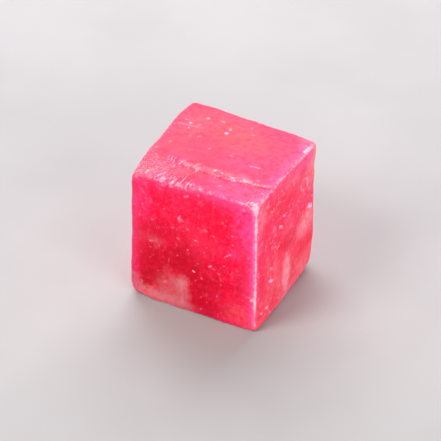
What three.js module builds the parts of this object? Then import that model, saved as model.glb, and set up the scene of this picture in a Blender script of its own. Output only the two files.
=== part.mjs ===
// A cube sawn from one piece of cloudy ruby and then tumbled: flat faces, soft edges and worn corners.
// Millimetres, +Z up. It stands on its flat base, with the origin under the middle of the stone.
import * as THREE from 'three';
import { mergeVertices } from 'three/addons/utils/BufferGeometryUtils.js';

// The sawn block: how far each face stands from the middle of the base, and how much it leans
const WIDTH = 19.16;
const DEPTH = 18.37;
const HEIGHT = 20.42;
const MIDDLE = [0, 0, 10];
const FACES = [
  { name: 'top', out: [0, 0, 1], away: HEIGHT, lean: [-0.038, -0.026, 0], swell: 0.03 },
  { name: 'base', out: [0, 0, -1], away: 0, lean: [0, 0, 0], swell: 0 },
  { name: 'right', out: [1, 0, 0], away: 9.66, lean: [0, -0.006, -0.016], swell: 0.06 },
  { name: 'left', out: [-1, 0, 0], away: 9.5, lean: [0, 0.04, -0.018], swell: 0.06 },
  { name: 'front', out: [0, -1, 0], away: 9.22, lean: [0.003, 0, -0.004], swell: 0.06 },
  { name: 'back', out: [0, 1, 0], away: 9.15, lean: [-0.031, 0, 0.01], swell: 0.06 },
];
const SWELL_PITCH = 13;

// Edges and corners as the tumbling left them
const EDGE_RADIUS = 0.45;
const EDGE_UNEVENNESS = 0.3;
const EDGE_PITCH = 3.4;
const WORN_CORNERS = [
  { at: corner(1, -1, 0), extra: 0.4, reach: [2.2, 2.2, 2.2] },
  { at: corner(1, -1, 1), extra: 0.3, reach: [1.6, 1.6, 1.6] },
  { at: corner(-1, 1, 1), extra: 0.8, reach: [2.5, 2.5, 2.5] },
  { at: corner(1, 1, 0), extra: 1.9, reach: [2.7, 2.7, 2.7] },
  { at: corner(-1, -1, 0.93), extra: 0.8, reach: [2.5, 2.5, 9] },
  { at: corner(-1, -1, 0), extra: 0.9, reach: [2.6, 2.6, 2] },
  { at: corner(-1, 1, 0), extra: 1, reach: [2.4, 2.4, 2.4] },
];

// The bevel knocked off the front left of the top, which is rough
const BEVEL_AT = [-4.2, -9.07, 19.75];
const BEVEL_SLOPE = [0.118, 0.227];
const BEVEL_BLEND = 0.35;
const ROUGH_HEIGHT = 0.05;
const ROUGH_PITCH = 1.1;

// The ledge across the top: it runs level from the bevel and turns back towards the right face
const LEDGE_DROP = 0.12;
const LEDGE_WIDTH = 0.3;
const LEDGE_Y = -5.68;
const LEDGE_TURN_X = 2.9;
const LEDGE_TURN_SLOPE = 0.21;
const LEDGE_TURN_BLEND = 0.5;

// The sill low on the front face: a shallow step that deepens towards the right edge
const SILL_DEPTH = 0.08;
const SILL_Z = 5.9;
const SILL_HEIGHT = 0.3;
const SILL_START_X = 4.2;
const SILL_RUN = 3;

// Shallow hollows, each sunk into one face
const HOLLOWS = [
  { face: 'top', at: [-9.8, -1, 20.7], depth: 0.45, reach: [3.5, 4, 3] },
  { face: 'right', at: [9.7, -9.3, 3], depth: 0.18, reach: [3, 2.5, 3] },
  { face: 'right', at: [9.5, 9, 16.6], depth: 0.14, reach: [2, 2.5, 1.3] },
  { face: 'right', at: [9.5, 9, 12], depth: 0.12, reach: [2, 3.5, 2.5] },
  { face: 'right', at: [9.6, 5.7, 14.7], depth: 0.1, reach: [1, 1, 1.2] },
  { face: 'left', at: [-9.7, 3.5, 6.5], depth: 0.16, reach: [2, 3.2, 2.6] },
  { face: 'left', at: [-9.5, -3, 13.5], depth: 0.12, reach: [2, 2.6, 3.4] },
  { face: 'back', at: [2.5, 9.2, 13], depth: 0.18, reach: [3.4, 2, 2.6] },
  { face: 'back', at: [-5, 9.3, 4.5], depth: 0.14, reach: [2.4, 2, 3] },
];

// The grid that is laid over the block before it is moved onto the stone
const SEGMENTS = 28;
const EDGE_CROWDING = 0.8;
const CORE_DEPTH = 3;
const BLOCK_HALF = [9.5, 9.2, 10.2];
const LEDGE_ROW = -4.97;
const ROW_REACH = 3.9;
const ROW_PINCH = 0.75;
const ROW_PINCH_REACH = 0.8;
const ROW_RANGE = [-5.8, -4.2];
const ROW_FADE_Z = [13, 19];
const SEARCH_DEPTH = 7;
const SEARCH_STEPS = 30;
const BASE_TOLERANCE = 1e-4;

const STONE_COLOUR = 0xd8204c;
const STONE_ROUGHNESS = 0.38;

function corner(x, y, z) {
  return [x * WIDTH / 2, y * DEPTH / 2, z * HEIGHT];
}

function dot(a, b) {
  return a[0] * b[0] + a[1] * b[1] + a[2] * b[2];
}

function smoothStep(t) {
  const held = THREE.MathUtils.clamp(t, 0, 1);
  return held * held * (3 - 2 * held);
}

function smoothMax(a, b, blend) {
  const share = THREE.MathUtils.clamp(0.5 + 0.5 * (a - b) / blend, 0, 1);
  return b + (a - b) * share + blend * share * (1 - share);
}

// An even unevenness between about -1 and 1: five plane waves in spread directions
function waves(p, pitch, phase) {
  const count = 5;
  let sum = 0;
  for (let i = 0; i < count; i += 1) {
    const up = 1 - (2 * i + 1) / count;
    const ring = Math.sqrt(1 - up * up);
    const turn = 2.4 * i + phase;
    const along = dot(p, [ring * Math.cos(turn), ring * Math.sin(turn), up]);
    sum += Math.sin(2 * Math.PI * along / (pitch * (0.75 + 0.14 * i)) + phase * (i + 1));
  }
  return sum / 2.5;
}

// One at a place and fading to nothing over its reach
function nearness(p, place, reach) {
  const off = p.map((value, i) => (value - place[i]) / reach[i]);
  return Math.exp(-dot(off, off));
}

function ledgeLine(x) {
  return smoothMax(LEDGE_Y, LEDGE_Y + LEDGE_TURN_SLOPE * (x - LEDGE_TURN_X), LEDGE_TURN_BLEND);
}

// Where the bevel meets the top face
function bevelLine(x) {
  const [leanX, leanY] = FACES[0].lean;
  const [slopeX, slopeY] = BEVEL_SLOPE;
  const [bevelX, bevelY, bevelZ] = BEVEL_AT;
  return (HEIGHT + leanX * x - bevelZ - slopeX * (x - bevelX) + slopeY * bevelY) / (slopeY - leanY);
}

// How far a point stands outside the worn top: the sawn face, the ledge and the bevel
function aboveTop(p, aboveFace) {
  const [x, y, z] = p;
  const [slopeX, slopeY] = BEVEL_SLOPE;
  const ledge = LEDGE_DROP * smoothStep((ledgeLine(x) - y) / LEDGE_WIDTH + 0.5);
  const bevelZ = BEVEL_AT[2] + slopeX * (x - BEVEL_AT[0]) + slopeY * (y - BEVEL_AT[1]);
  const aboveBevel = (z - bevelZ) / Math.hypot(1, slopeX, slopeY) + ROUGH_HEIGHT * waves(p, ROUGH_PITCH, 1);
  return smoothMax(aboveFace + ledge, aboveBevel, BEVEL_BLEND);
}

function sill(p) {
  const under = smoothStep((SILL_Z - p[2]) / SILL_HEIGHT + 0.5);
  return SILL_DEPTH * under * smoothStep((p[0] - SILL_START_X) / SILL_RUN);
}

// How far a point stands outside one face
function aboveFace(p, face) {
  const off = p.map((value, i) => value - MIDDLE[i]);
  let above = dot(p, face.out) - face.away - dot(off, face.lean);
  if (face.swell > 0) {
    above += face.swell * waves(p, SWELL_PITCH, face.name === 'top' ? 5 : 3);
  }
  for (const hollow of HOLLOWS) {
    if (hollow.face === face.name) {
      above += hollow.depth * nearness(p, hollow.at, hollow.reach);
    }
  }
  if (face.name === 'top') {
    above = aboveTop(p, above);
  }
  if (face.name === 'front') {
    above += sill(p);
  }
  return above;
}

function edgeRadius(p) {
  let radius = EDGE_RADIUS * (1 + EDGE_UNEVENNESS * waves(p, EDGE_PITCH, 7));
  for (const worn of WORN_CORNERS) {
    radius += worn.extra * nearness(p, worn.at, worn.reach);
  }
  return radius;
}

// Below zero inside the stone and above zero outside it
function outside(p) {
  const radius = edgeRadius(p);
  const past = FACES.map((face) => Math.max(aboveFace(p, face) + radius, 0));
  return Math.hypot(...past) - radius;
}

// Crowds the grid lines towards the edges of the block, where the stone curves most
function crowded(u) {
  return (1 - EDGE_CROWDING) * u + EDGE_CROWDING * Math.sin(Math.PI * u / 2);
}

// Bends the rows of the block so that one of them runs along the ledge and the bevel
function followLedge(p) {
  const fromRow = p[1] - LEDGE_ROW;
  const near = Math.max(1 - (fromRow / ROW_REACH) ** 2, 0) ** 2;
  const fade = smoothStep((p[2] - ROW_FADE_Z[0]) / (ROW_FADE_Z[1] - ROW_FADE_Z[0]));
  const line = THREE.MathUtils.clamp(smoothMax(ledgeLine(p[0]), bevelLine(p[0]), 0.8), ...ROW_RANGE);
  const pinch = ROW_PINCH * fromRow * Math.exp(-((fromRow / ROW_PINCH_REACH) ** 2));
  return [p[0], p[1] + fade * (near * (line - LEDGE_ROW) - pinch), p[2]];
}

// Moves a point of the block out from the core of the stone until it meets the surface
function toSurface(p) {
  const blockMiddle = [0, 0, BLOCK_HALF[2]];
  const core = p.map((value, i) => {
    const half = BLOCK_HALF[i] - CORE_DEPTH;
    return blockMiddle[i] + THREE.MathUtils.clamp(value - blockMiddle[i], -half, half);
  });
  const away = new THREE.Vector3(...p).sub(new THREE.Vector3(...core)).normalize().toArray();
  let near = 0;
  let far = SEARCH_DEPTH;
  for (let step = 0; step < SEARCH_STEPS; step += 1) {
    const half = (near + far) / 2;
    const inside = outside(core.map((value, i) => value + away[i] * half)) < 0;
    near = inside ? half : near;
    far = inside ? far : half;
  }
  return core.map((value, i) => value + away[i] * near);
}

function stoneGeometry() {
  const box = new THREE.BoxGeometry(2, 2, 2, SEGMENTS, SEGMENTS, SEGMENTS);
  box.deleteAttribute('normal');
  box.deleteAttribute('uv');
  const geometry = mergeVertices(box);
  const places = geometry.getAttribute('position');
  for (let i = 0; i < places.count; i += 1) {
    const unit = [places.getX(i), places.getY(i), places.getZ(i)];
    const block = unit.map((u, axis) => crowded(u) * BLOCK_HALF[axis]);
    block[2] += BLOCK_HALF[2];
    const [x, y, z] = toSurface(followLedge(block));
    places.setXYZ(i, x, y, Math.abs(z) < BASE_TOLERANCE ? 0 : z);
  }
  geometry.computeBoundingBox();
  const middle = geometry.boundingBox.getCenter(new THREE.Vector3());
  geometry.translate(-middle.x, -middle.y, 0);
  geometry.computeVertexNormals();
  return geometry;
}

const stoneFinish = new THREE.MeshStandardMaterial({
  color: STONE_COLOUR,
  roughness: STONE_ROUGHNESS,
  metalness: 0,
});

const stone = new THREE.Mesh(stoneGeometry(), stoneFinish);
stone.name = 'ruby_cube';

const part = new THREE.Group();
part.add(stone);

export default part;
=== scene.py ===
"""A tumbled ruby cube: the finished stone, its soft light and its camera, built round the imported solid."""

from __future__ import annotations

import functools
import logging
import math
from dataclasses import dataclass, field
from enum import Enum

import bmesh
import bpy
import numpy as np
from mathutils import Matrix, Vector

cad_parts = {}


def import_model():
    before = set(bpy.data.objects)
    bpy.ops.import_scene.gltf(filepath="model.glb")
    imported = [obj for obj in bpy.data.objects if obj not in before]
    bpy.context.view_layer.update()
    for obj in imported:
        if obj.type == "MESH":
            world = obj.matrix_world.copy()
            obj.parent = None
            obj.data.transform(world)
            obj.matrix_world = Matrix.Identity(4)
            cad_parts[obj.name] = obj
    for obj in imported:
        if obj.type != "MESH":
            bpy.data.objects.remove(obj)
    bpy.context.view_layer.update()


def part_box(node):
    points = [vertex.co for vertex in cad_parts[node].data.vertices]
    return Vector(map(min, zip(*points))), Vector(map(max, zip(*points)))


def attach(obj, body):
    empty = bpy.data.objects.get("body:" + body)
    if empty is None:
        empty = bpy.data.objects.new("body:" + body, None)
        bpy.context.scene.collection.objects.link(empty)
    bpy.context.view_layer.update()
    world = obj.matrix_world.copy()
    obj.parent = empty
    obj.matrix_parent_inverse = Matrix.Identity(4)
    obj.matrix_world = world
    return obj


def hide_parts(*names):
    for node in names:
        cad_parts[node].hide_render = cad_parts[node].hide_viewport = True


LOG = logging.getLogger("ruby_cube")
MM = 0.001
NODE = "ruby_cube"

Point = tuple[float, float, float]
Colour = tuple[float, float, float]
Socket = bpy.types.NodeSocket
Value = float | Point | Socket


class Face(Enum):
    """The six sawn faces of the block."""

    TOP = "top"
    BASE = "base"
    RIGHT = "right"
    LEFT = "left"
    FRONT = "front"
    BACK = "back"


def smooth_step(t: np.ndarray) -> np.ndarray:
    """Goes smoothly from 0 to 1 as t does."""
    held = np.clip(t, 0.0, 1.0)
    return held * held * (3.0 - 2.0 * held)


def smooth_max(a: np.ndarray, b: np.ndarray, blend: float) -> np.ndarray:
    """The larger of two values, rounded off where they are within blend of each other."""
    share = np.clip(0.5 + 0.5 * (a - b) / blend, 0.0, 1.0)
    return b + (a - b) * share + blend * share * (1.0 - share)


def ramp(values: np.ndarray, start: float, end: float) -> np.ndarray:
    """Goes smoothly from 0 at the start to 1 at the end, which may be the smaller of the two."""
    return smooth_step((values - start) / (end - start))


def waves(points: np.ndarray, pitch: float, phase: float) -> np.ndarray:
    """An even unevenness between about -1 and 1.

    Args:
        points: places in millimetres, one a row.
        pitch: about how far apart the swells are, in millimetres.
        phase: which of the many such patterns this is.

    Returns:
        The sum of five plane waves in spread directions, at each place.
    """
    count = 5
    total = np.zeros(len(points))
    for i in range(count):
        up = 1.0 - (2 * i + 1) / count
        ring = math.sqrt(1.0 - up * up)
        turn = 2.4 * i + phase
        along = points @ np.array([ring * math.cos(turn), ring * math.sin(turn), up])
        total += np.sin(2.0 * math.pi * along / (pitch * (0.75 + 0.14 * i)) + phase * (i + 1))
    return total / 2.5


def nearness(points: np.ndarray, place: Point, reach: Point) -> np.ndarray:
    """One at a place, and fading to nothing over its reach."""
    off = (points - np.array(place)) / np.array(reach)
    return np.exp(-(off * off).sum(axis=1))


@dataclass(frozen=True)
class SawnFace:
    """One face of the block: its outward direction, its distance and lean, and how much it swells."""

    out: Point
    away: float
    lean: Point
    swell: float = 0.06
    phase: float = 3.0


@dataclass(frozen=True)
class WornCorner:
    """A place where tumbling rounded the edges further. The corner is given in half sizes and heights."""

    corner: Point
    extra: float
    reach: Point


@dataclass(frozen=True)
class Hollow:
    """A shallow hollow sunk into one face."""

    face: Face
    at: Point
    depth: float
    reach: Point


@dataclass
class StoneShape:
    """The shape of the stone, in millimetres: sawn faces, worn edges, a bevel, a ledge and a sill."""

    width: float = 19.16
    depth: float = 18.37
    height: float = 20.42
    middle: Point = (0.0, 0.0, 10.0)
    face_steps: int = 3
    edge_radius: float = 0.45
    edge_unevenness: float = 0.3
    edge_pitch: float = 3.4
    swell_pitch: float = 13.0
    bevel_at: Point = (-4.2, -9.07, 19.75)
    bevel_slope: tuple[float, float] = (0.118, 0.227)
    bevel_blend: float = 0.35
    bevel_hump: float = 0.45
    bevel_hump_at: Point = (-6.2, -9.2, 19.5)
    bevel_hump_reach: Point = (1.8, 2.2, 2.2)
    rough_height: float = 0.022
    rough_pitch: float = 1.1
    ledge_drop: float = 0.12
    ledge_width: float = 0.3
    ledge_rise: float = 0.95
    ledge_rise_run: float = 3.4
    ledge_y: float = -5.68
    ledge_turn_x: float = 2.9
    ledge_turn_slope: float = 0.21
    ledge_turn_blend: float = 0.5
    top_line_blend: float = 0.8
    sill_depth: float = 0.08
    sill_z: float = 5.9
    sill_height: float = 0.3
    sill_start_x: float = 4.2
    sill_run: float = 3.0
    faces: dict[Face, SawnFace] = field(init=False)
    worn_corners: tuple[WornCorner, ...] = (
        WornCorner((1, -1, 0), 0.4, (2.2, 2.2, 2.2)),
        WornCorner((1, -1, 1), 0.3, (1.6, 1.6, 1.6)),
        WornCorner((-1, 1, 1), 0.8, (2.5, 2.5, 2.5)),
        WornCorner((1, 1, 0), 1.9, (2.7, 2.7, 2.7)),
        WornCorner((-1, -1, 0.93), 0.5, (2.5, 2.5, 6.0)),
        WornCorner((-1, -1, 0.42), 0.75, (2.5, 2.5, 4.5)),
        WornCorner((-1, -1, 0), 0.9, (2.6, 2.6, 2.0)),
        WornCorner((-1, 1, 0), 1.0, (2.4, 2.4, 2.4)),
    )
    hollows: tuple[Hollow, ...] = (
        Hollow(Face.TOP, (-9.8, -1.0, 20.7), 0.62, (3.5, 4.0, 3.0)),
        Hollow(Face.RIGHT, (9.7, -9.3, 3.0), 0.18, (3.0, 2.5, 3.0)),
        Hollow(Face.RIGHT, (9.5, 9.0, 16.6), 0.14, (2.0, 2.5, 1.3)),
        Hollow(Face.RIGHT, (9.5, 9.0, 12.0), 0.12, (2.0, 3.5, 2.5)),
        Hollow(Face.RIGHT, (9.6, 5.7, 14.7), 0.1, (1.0, 1.0, 1.2)),
        Hollow(Face.LEFT, (-9.7, 3.5, 6.5), 0.16, (2.0, 3.2, 2.6)),
        Hollow(Face.LEFT, (-9.5, -3.0, 13.5), 0.12, (2.0, 2.6, 3.4)),
        Hollow(Face.BACK, (2.5, 9.2, 13.0), 0.18, (3.4, 2.0, 2.6)),
        Hollow(Face.BACK, (-5.0, 9.3, 4.5), 0.14, (2.4, 2.0, 3.0)),
    )

    def __post_init__(self) -> None:
        """Sets the six faces from the block's sizes."""
        self.faces = {
            Face.TOP: SawnFace((0, 0, 1), self.height, (-0.038, -0.026, 0.0), 0.03, 5.0),
            Face.BASE: SawnFace((0, 0, -1), 0.0, (0.0, 0.0, 0.0), 0.0),
            Face.RIGHT: SawnFace((1, 0, 0), 9.66, (0.0, -0.006, -0.016)),
            Face.LEFT: SawnFace((-1, 0, 0), 9.5, (0.0, 0.04, -0.018)),
            Face.FRONT: SawnFace((0, -1, 0), 9.22, (0.003, 0.0, -0.004)),
            Face.BACK: SawnFace((0, 1, 0), 9.15, (-0.031, 0.0, 0.01)),
        }

    def corner(self, signs: Point) -> Point:
        """A corner of the block, from its signs in x and y and its share of the height."""
        return signs[0] * self.width / 2, signs[1] * self.depth / 2, signs[2] * self.height

    def along_face(self, face: Face, pair: tuple[float, float]) -> np.ndarray:
        """Two values along a face, with a zero in the direction across it."""
        across = int(np.argmax(np.abs(self.faces[face].out)))
        return np.insert(np.array(pair, float), across, 0.0)

    def on_face(self, face: Face, at: tuple[float, float]) -> Point:
        """The place on a face at two coordinates.

        Args:
            face: one of the sawn faces.
            at: x and y on the top or base, y and z on the right or left, x and z on the front or back.

        Returns:
            The place in millimetres, with the face's lean and swell.
        """
        out = np.array(self.faces[face].out, float)
        place = self.along_face(face, at) + out * self.faces[face].away
        for _ in range(self.face_steps):
            place -= out * self.above_face(place[None], face)[0]
        return float(place[0]), float(place[1]), float(place[2])

    def ledge_line(self, x: np.ndarray) -> np.ndarray:
        """The y of the ledge's lip at each x."""
        turn = self.ledge_y + self.ledge_turn_slope * (x - self.ledge_turn_x)
        return smooth_max(np.full_like(x, self.ledge_y), turn, self.ledge_turn_blend)

    def bevel_line(self, x: np.ndarray) -> np.ndarray:
        """The y where the bevel meets the top face, at each x.

        Args:
            x: places along the bevel, in millimetres.

        Returns:
            The y at each x.
        """
        lean_x, lean_y, _ = self.faces[Face.TOP].lean
        slope_x, slope_y = self.bevel_slope
        bevel_x, bevel_y, bevel_z = self.bevel_at
        rise = self.height + lean_x * x - bevel_z - slope_x * (x - bevel_x) + slope_y * bevel_y
        return rise / (slope_y - lean_y)

    def top_line(self, x: np.ndarray) -> np.ndarray:
        """The y where the flat of the top ends at each x, at the ledge or the bevel."""
        return smooth_max(self.ledge_line(x), self.bevel_line(x), self.top_line_blend)

    def above_bevel(self, points: np.ndarray) -> np.ndarray:
        """How far each place stands outside the plane of the bevel, which is rough.

        Args:
            points: places in millimetres, one a row.

        Returns:
            The height at each place, below zero inside the stone.
        """
        x, y, z = points.T
        slope_x, slope_y = self.bevel_slope
        plane = self.bevel_at[2] + slope_x * (x - self.bevel_at[0]) + slope_y * (y - self.bevel_at[1])
        plane += self.bevel_hump * nearness(points, self.bevel_hump_at, self.bevel_hump_reach)
        rough = self.rough_height * waves(points, self.rough_pitch, 1.0)
        return (z - plane) / math.hypot(1.0, slope_x, slope_y) + rough

    def above_sawn(self, points: np.ndarray, face: Face) -> np.ndarray:
        """How far each place stands outside one sawn face with its swell and hollows.

        Args:
            points: places in millimetres, one a row.
            face: one of the sawn faces.

        Returns:
            The height at each place, below zero inside the stone.
        """
        sawn = self.faces[face]
        off = points - np.array(self.middle)
        above = points @ np.array(sawn.out, float) - sawn.away - off @ np.array(sawn.lean)
        if sawn.swell > 0:
            above += sawn.swell * waves(points, self.swell_pitch, sawn.phase)
        for hollow in self.hollows:
            if hollow.face is face:
                above += hollow.depth * nearness(points, hollow.at, hollow.reach)
        return above

    def above_face(self, points: np.ndarray, face: Face) -> np.ndarray:
        """How far each place stands outside one face, with what was knocked off it.

        Args:
            points: places in millimetres, one a row.
            face: one of the sawn faces.

        Returns:
            The height at each place, below zero inside the stone.
        """
        above = self.above_sawn(points, face)
        x, y, z = points.T
        if face is Face.TOP:
            below = self.ledge_line(x) - y
            drop = self.ledge_drop * (1.0 - self.ledge_rise * smooth_step(below / self.ledge_rise_run))
            above += drop * smooth_step(below / self.ledge_width + 0.5)
            above = smooth_max(above, self.above_bevel(points), self.bevel_blend)
        if face is Face.FRONT:
            under = smooth_step((self.sill_z - z) / self.sill_height + 0.5)
            above += self.sill_depth * under * smooth_step((x - self.sill_start_x) / self.sill_run)
        return above

    def radius(self, points: np.ndarray) -> np.ndarray:
        """The radius that the edges are worn to near each place.

        Args:
            points: places in millimetres, one a row.

        Returns:
            The radius at each place.
        """
        radius = self.edge_radius * (1.0 + self.edge_unevenness * waves(points, self.edge_pitch, 7.0))
        for worn in self.worn_corners:
            radius += worn.extra * nearness(points, self.corner(worn.corner), worn.reach)
        return radius

    def outside(self, points: np.ndarray) -> np.ndarray:
        """Below zero inside the stone and above zero outside it.

        Args:
            points: places in millimetres, one a row.

        Returns:
            The value at each place.
        """
        radius = self.radius(points)
        past = np.array([self.above_face(points, face) + radius for face in Face])
        return np.sqrt((np.maximum(past, 0.0) ** 2).sum(axis=0)) - radius

    def edge_gap(self, points: np.ndarray) -> np.ndarray:
        """How far each place on the surface lies from the nearest edge of the stone."""
        inside = np.sort(-np.array([self.above_face(points, face) for face in Face]), axis=0)
        return np.maximum(inside[1], 0.0)


@dataclass
class StoneGrid:
    """The grid of quads that is laid over the block and then moved onto the stone, in millimetres."""

    shape: StoneShape
    segments: int = 110
    edge_crowding: float = 0.55
    core_depth: float = 3.0
    block_half: Point = (9.5, 9.2, 10.2)
    ledge_row: float = -4.97
    row_reach: float = 3.9
    row_pinch: float = 0.75
    row_pinch_reach: float = 0.8
    row_range: tuple[float, float] = (-5.8, -4.2)
    row_fade_z: tuple[float, float] = (13.0, 19.0)
    fine_cuts: int = 2
    fine_x: float = 2.6
    fine_y: float = -5.0
    fine_z: float = 18.75
    search_depth: float = 7.0
    search_steps: int = 30
    base_tolerance: float = 1e-4

    def crowded(self, unit: np.ndarray) -> np.ndarray:
        """Crowds the grid lines of a block from -1 to 1 towards its edges."""
        swung = np.sin(math.pi * unit / 2.0)
        return (1.0 - self.edge_crowding) * unit + self.edge_crowding * swung

    def follow_ledge(self, points: np.ndarray) -> np.ndarray:
        """Bends the rows of the block so that one of them runs along the ledge and the bevel.

        Args:
            points: places on the block in millimetres, one a row.

        Returns:
            The moved places.
        """
        x, y, z = points.T
        from_row = y - self.ledge_row
        near = np.maximum(1.0 - (from_row / self.row_reach) ** 2, 0.0) ** 2
        line = np.clip(self.shape.top_line(x), *self.row_range)
        pinch = self.row_pinch * from_row * np.exp(-((from_row / self.row_pinch_reach) ** 2))
        moved = points.copy()
        moved[:, 1] += ramp(z, *self.row_fade_z) * (near * (line - self.ledge_row) - pinch)
        return moved

    def to_block(self, unit: np.ndarray) -> np.ndarray:
        """Stretches a cube from -1 to 1 to the block, with its lines where the stone needs them.

        Args:
            unit: places on the cube, one a row.

        Returns:
            The places on the block, in millimetres.
        """
        block = self.crowded(unit) * np.array(self.block_half)
        block[:, 2] += self.block_half[2]
        return self.follow_ledge(block)

    def to_surface(self, points: np.ndarray) -> np.ndarray:
        """Moves places on the block out from the core of the stone until they meet its surface.

        Args:
            points: places on the block in millimetres, one a row.

        Returns:
            The places on the stone's surface.
        """
        block_middle = np.array([0.0, 0.0, self.block_half[2]])
        half = np.array(self.block_half) - self.core_depth
        core = block_middle + np.clip(points - block_middle, -half, half)
        away = points - core
        away /= np.linalg.norm(away, axis=1)[:, None]
        near = np.zeros(len(points))
        far = np.full(len(points), self.search_depth)
        for _ in range(self.search_steps):
            half_way = (near + far) / 2.0
            inside = self.shape.outside(core + away * half_way[:, None]) < 0.0
            near = np.where(inside, half_way, near)
            far = np.where(inside, far, half_way)
        placed = core + away * near[:, None]
        placed[np.abs(placed[:, 2]) < self.base_tolerance, 2] = 0.0
        return placed

    def lay(self) -> bmesh.types.BMesh:
        """Makes the grid over the block, with finer quads over the rough bevel.

        Returns:
            A closed bmesh whose vertices are still on the block, in millimetres.
        """
        mesh = bmesh.new()
        bmesh.ops.create_cube(mesh, size=2.0)
        cuts = self.segments - 1
        bmesh.ops.subdivide_edges(mesh, edges=mesh.edges[:], cuts=cuts, use_grid_fill=True)
        units = np.array([vert.co for vert in mesh.verts])
        for vert, place in zip(mesh.verts, self.to_block(units)):
            vert.co = place
        fine = [edge for edge in mesh.edges if all(self.is_fine(vert.co) for vert in edge.verts)]
        bmesh.ops.subdivide_edges(mesh, edges=fine, cuts=self.fine_cuts, use_grid_fill=True)
        return mesh

    def is_fine(self, place: Vector) -> bool:
        """True on the part of the block that takes the finer quads."""
        return place.x < self.fine_x and place.y < self.fine_y and place.z > self.fine_z


@dataclass(frozen=True)
class Chip:
    """A small flake knocked out of the surface: the nearest place, how wide and how deep."""

    at: Point
    radius: float
    depth: float


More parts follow.
